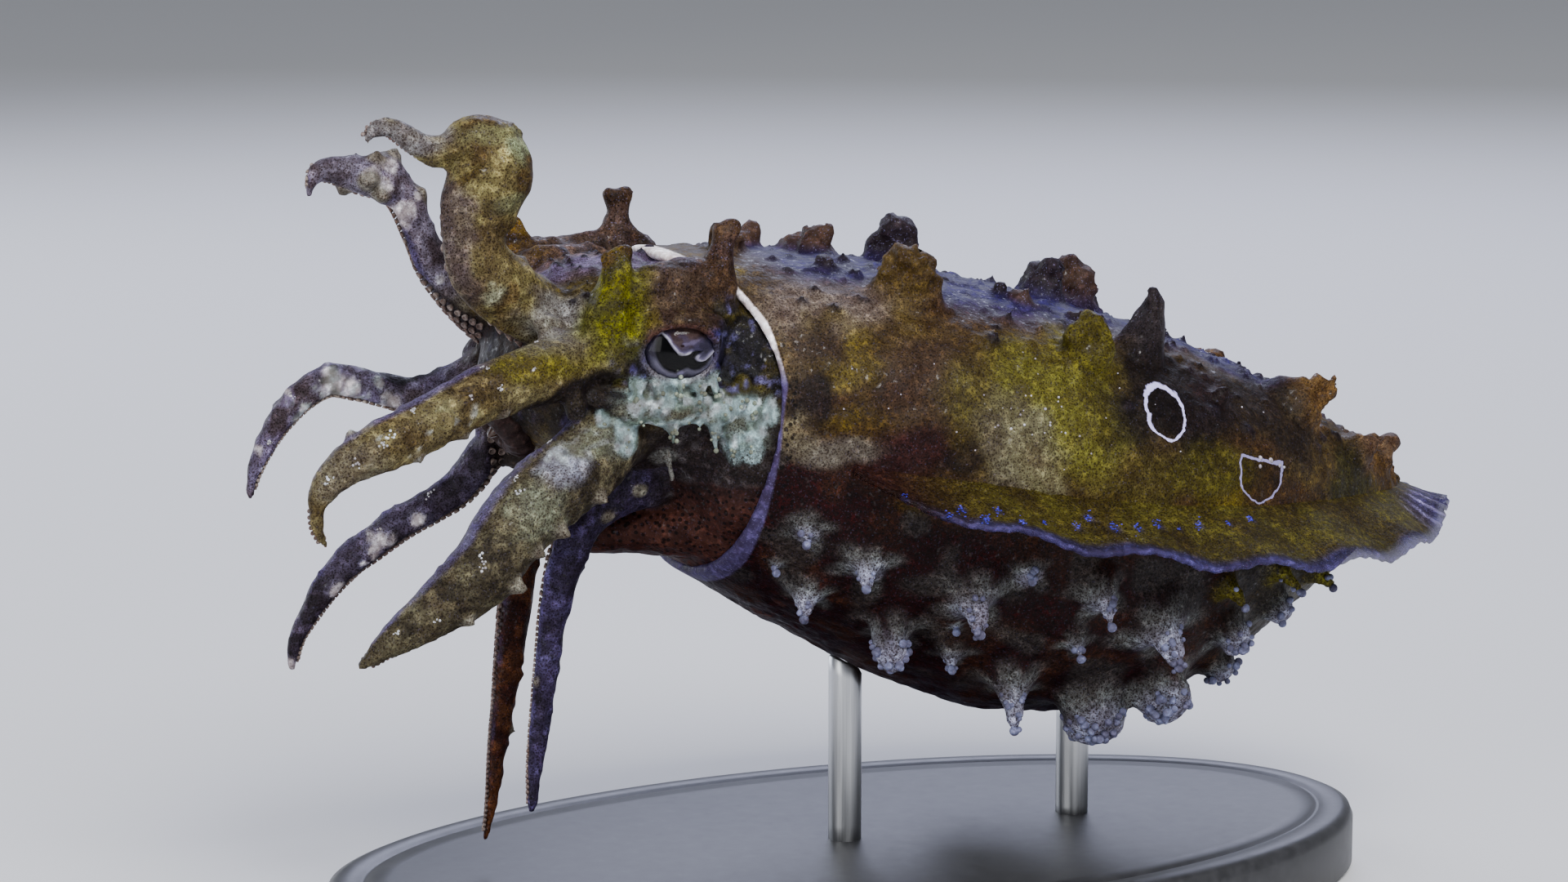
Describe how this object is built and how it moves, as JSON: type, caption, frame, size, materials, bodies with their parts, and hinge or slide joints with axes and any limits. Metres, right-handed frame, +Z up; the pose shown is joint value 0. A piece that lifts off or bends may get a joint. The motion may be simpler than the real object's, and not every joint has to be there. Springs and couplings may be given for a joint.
{
  "type": "cuttlefish",
  "caption": "Life-size dwarf cuttlefish with spread, curled arms, raised papillae and a rippled fin, held over a plain oval base by short rods.",
  "frame": {"origin": "centre of the underside of the stand's base", "axes": "+X from the head to the tail, +Y to the animal's right, +Z up from the base to the back"},
  "size_m": [0.0999, 0.0502, 0.0633],
  "materials": {
    "mantle_skin": "olive and brown skin with raised papillae, moist",
    "fin_skin": "thin membrane with a violet edge",
    "head_skin": "olive and brown skin, moist",
    "arm_skin": "mottled skin with rows of suckers, moist",
    "funnel_skin": "orange-brown skin with dark dots",
    "mouth_skin": "pale puckered skin round a beak tip",
    "eye": "clear and glossy over a dark curved pupil",
    "stand_base": "satin black paint",
    "stand_rod": "fine brushed"
  },
  "bodies": {
    "root": {"arm_1_left_root": "arm_skin", "arm_1_left_middle": "arm_skin", "arm_1_left_tip": "arm_skin", "arm_1_right_root": "arm_skin", "arm_1_right_middle": "arm_skin", "arm_1_right_tip": "arm_skin", "arm_2_left_root": "arm_skin", "arm_2_left_middle": "arm_skin", "arm_2_left_tip": "arm_skin", "arm_2_right_root": "arm_skin", "arm_2_right_middle": "arm_skin", "arm_2_right_tip": "arm_skin", "arm_3_left_root": "arm_skin", "arm_3_left_middle": "arm_skin", "arm_3_left_tip": "arm_skin", "arm_3_right_root": "arm_skin", "arm_3_right_middle": "arm_skin", "arm_3_right_tip": "arm_skin", "arm_4_left_root": "arm_skin", "arm_4_left_middle": "arm_skin", "arm_4_left_tip": "arm_skin", "arm_4_right_root": "arm_skin", "arm_4_right_middle": "arm_skin", "arm_4_right_tip": "arm_skin", "eye_left": "eye", "eye_right": "eye", "fin_left": "fin_skin", "fin_right": "fin_skin", "funnel": "funnel_skin", "head": "head_skin", "mantle": "mantle_skin", "mouth": "mouth_skin", "stand_base": "stand_base", "stand_rod_front": "stand_rod", "stand_rod_rear": "stand_rod"}
  },
  "joints": []
}
